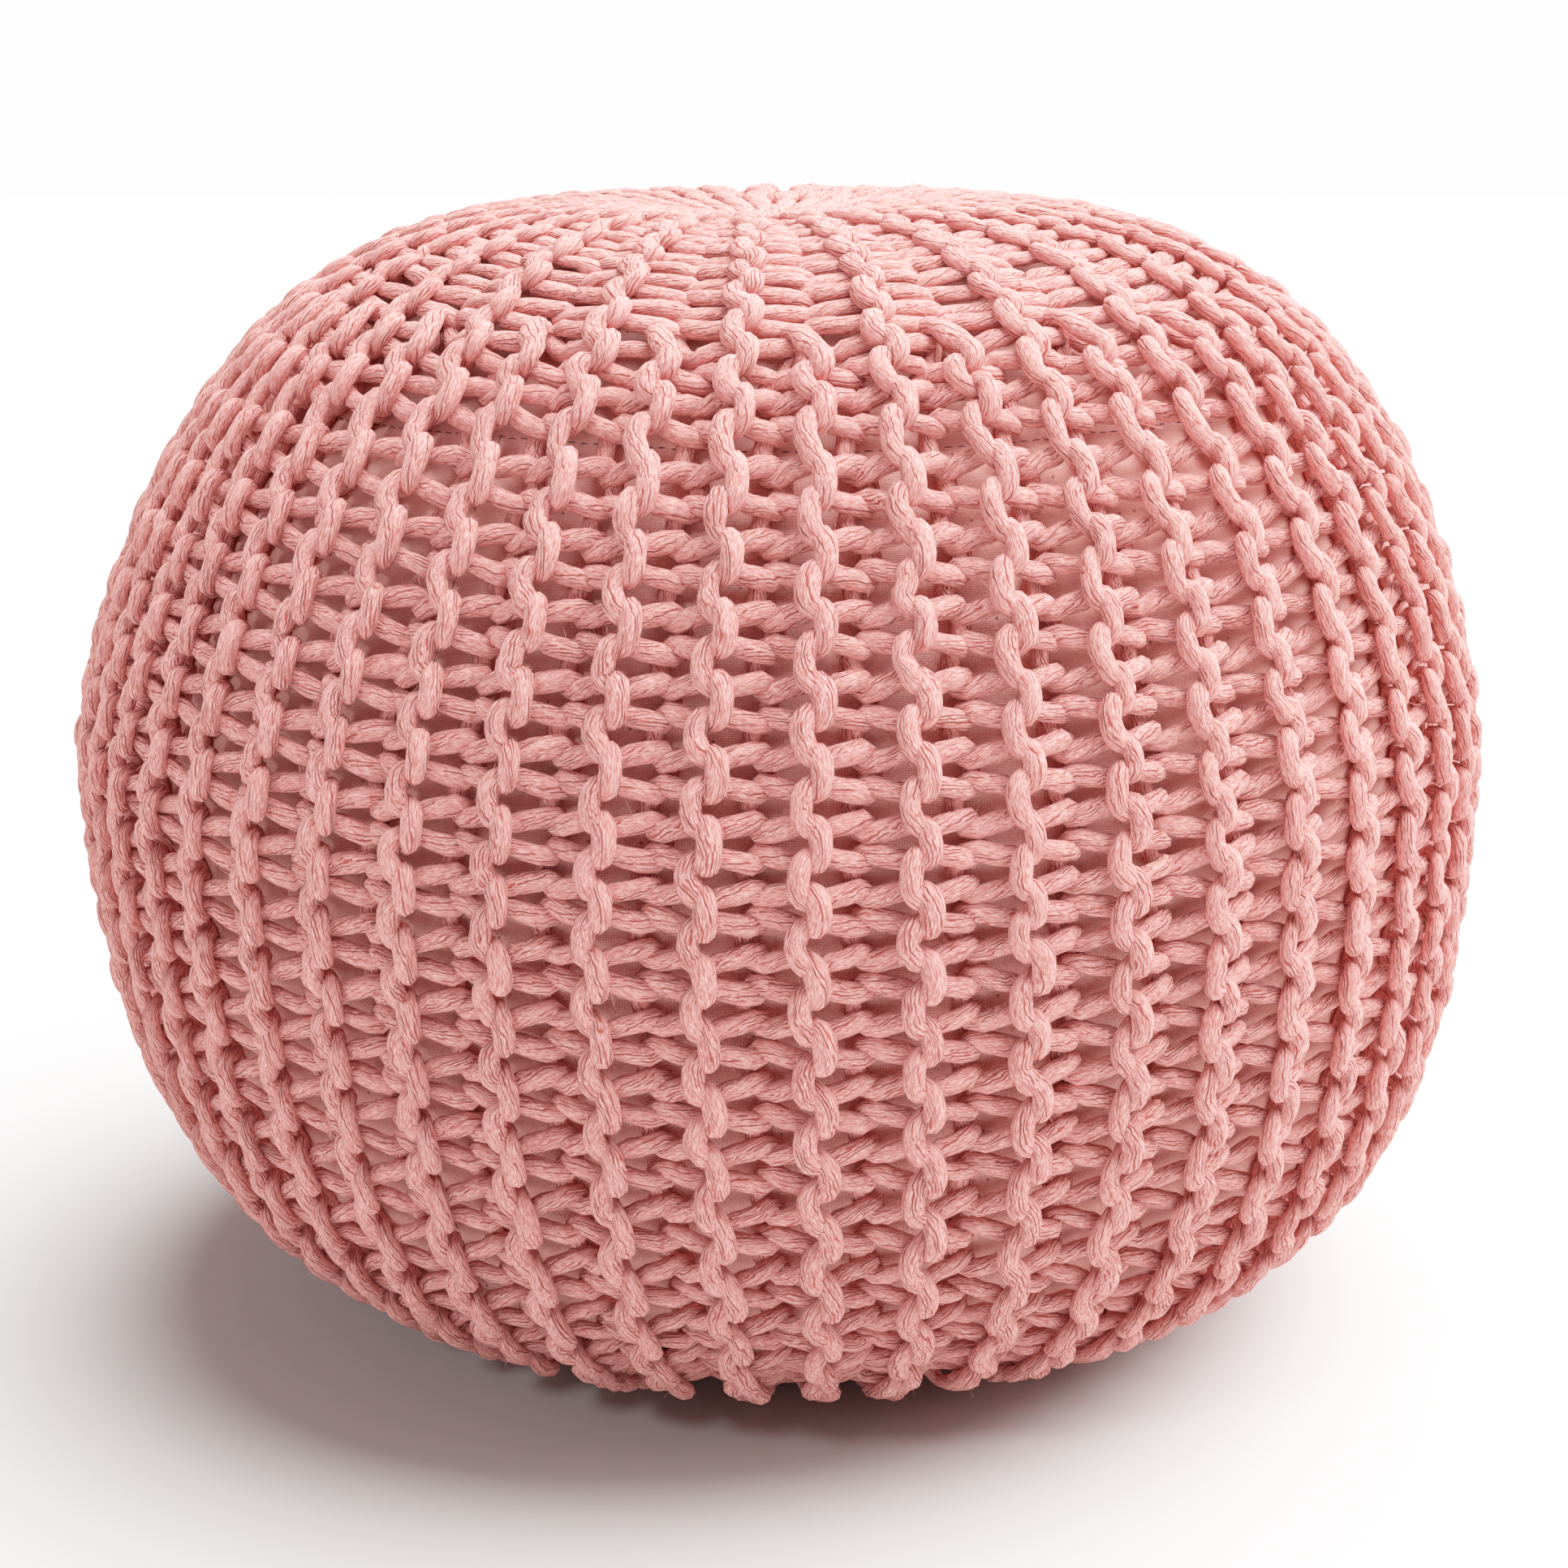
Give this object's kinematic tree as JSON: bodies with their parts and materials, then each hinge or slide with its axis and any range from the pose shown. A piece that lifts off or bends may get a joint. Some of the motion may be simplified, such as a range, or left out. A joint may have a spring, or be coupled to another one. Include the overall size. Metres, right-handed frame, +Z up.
{
  "type": "knitted pouf",
  "caption": "Round knitted floor pouf with a chunky ribbed cord cover over a filled inner casing, gathered at the top centre, flat underneath.",
  "frame": {"origin": "on the floor, under the centre of the bounding box", "axes": "+Z up, -Y towards the front that the picture shows"},
  "size_m": [0.498, 0.5012, 0.3863],
  "materials": {
    "knitted_cord": "soft matte twisted cotton cord, pale pink",
    "casing_cloth": "matte plain-woven cotton, dusty pink"
  },
  "bodies": {
    "root": {"knit_cover": "knitted_cord", "inner_casing": "casing_cloth"}
  },
  "joints": []
}
